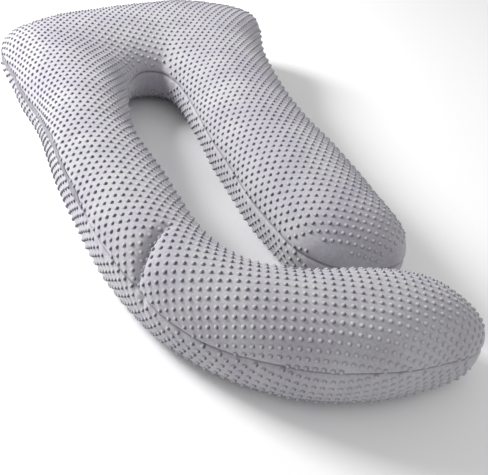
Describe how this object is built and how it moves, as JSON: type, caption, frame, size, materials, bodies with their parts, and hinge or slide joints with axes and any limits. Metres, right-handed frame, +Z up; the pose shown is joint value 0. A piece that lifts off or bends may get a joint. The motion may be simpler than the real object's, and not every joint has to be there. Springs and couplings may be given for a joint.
{
  "type": "pregnancy pillow",
  "caption": "J-shaped full-body pregnancy pillow in grey raised-dot velvet, lying on its back, with a side seam all round and a zip placket along the long arm's outer seam.",
  "frame": {"origin": "on the floor, under the middle of the pillow's box", "axes": "+Z up, away from the floor; +Y towards the head end; +X towards the short arm's side"},
  "size_m": [0.846, 1.548, 0.2228],
  "materials": {
    "velvet": "short plush with raised dots",
    "placket": "smooth woven tape"
  },
  "bodies": {
    "root": {"pillow_body": "velvet", "zip_placket": "placket"}
  },
  "joints": []
}
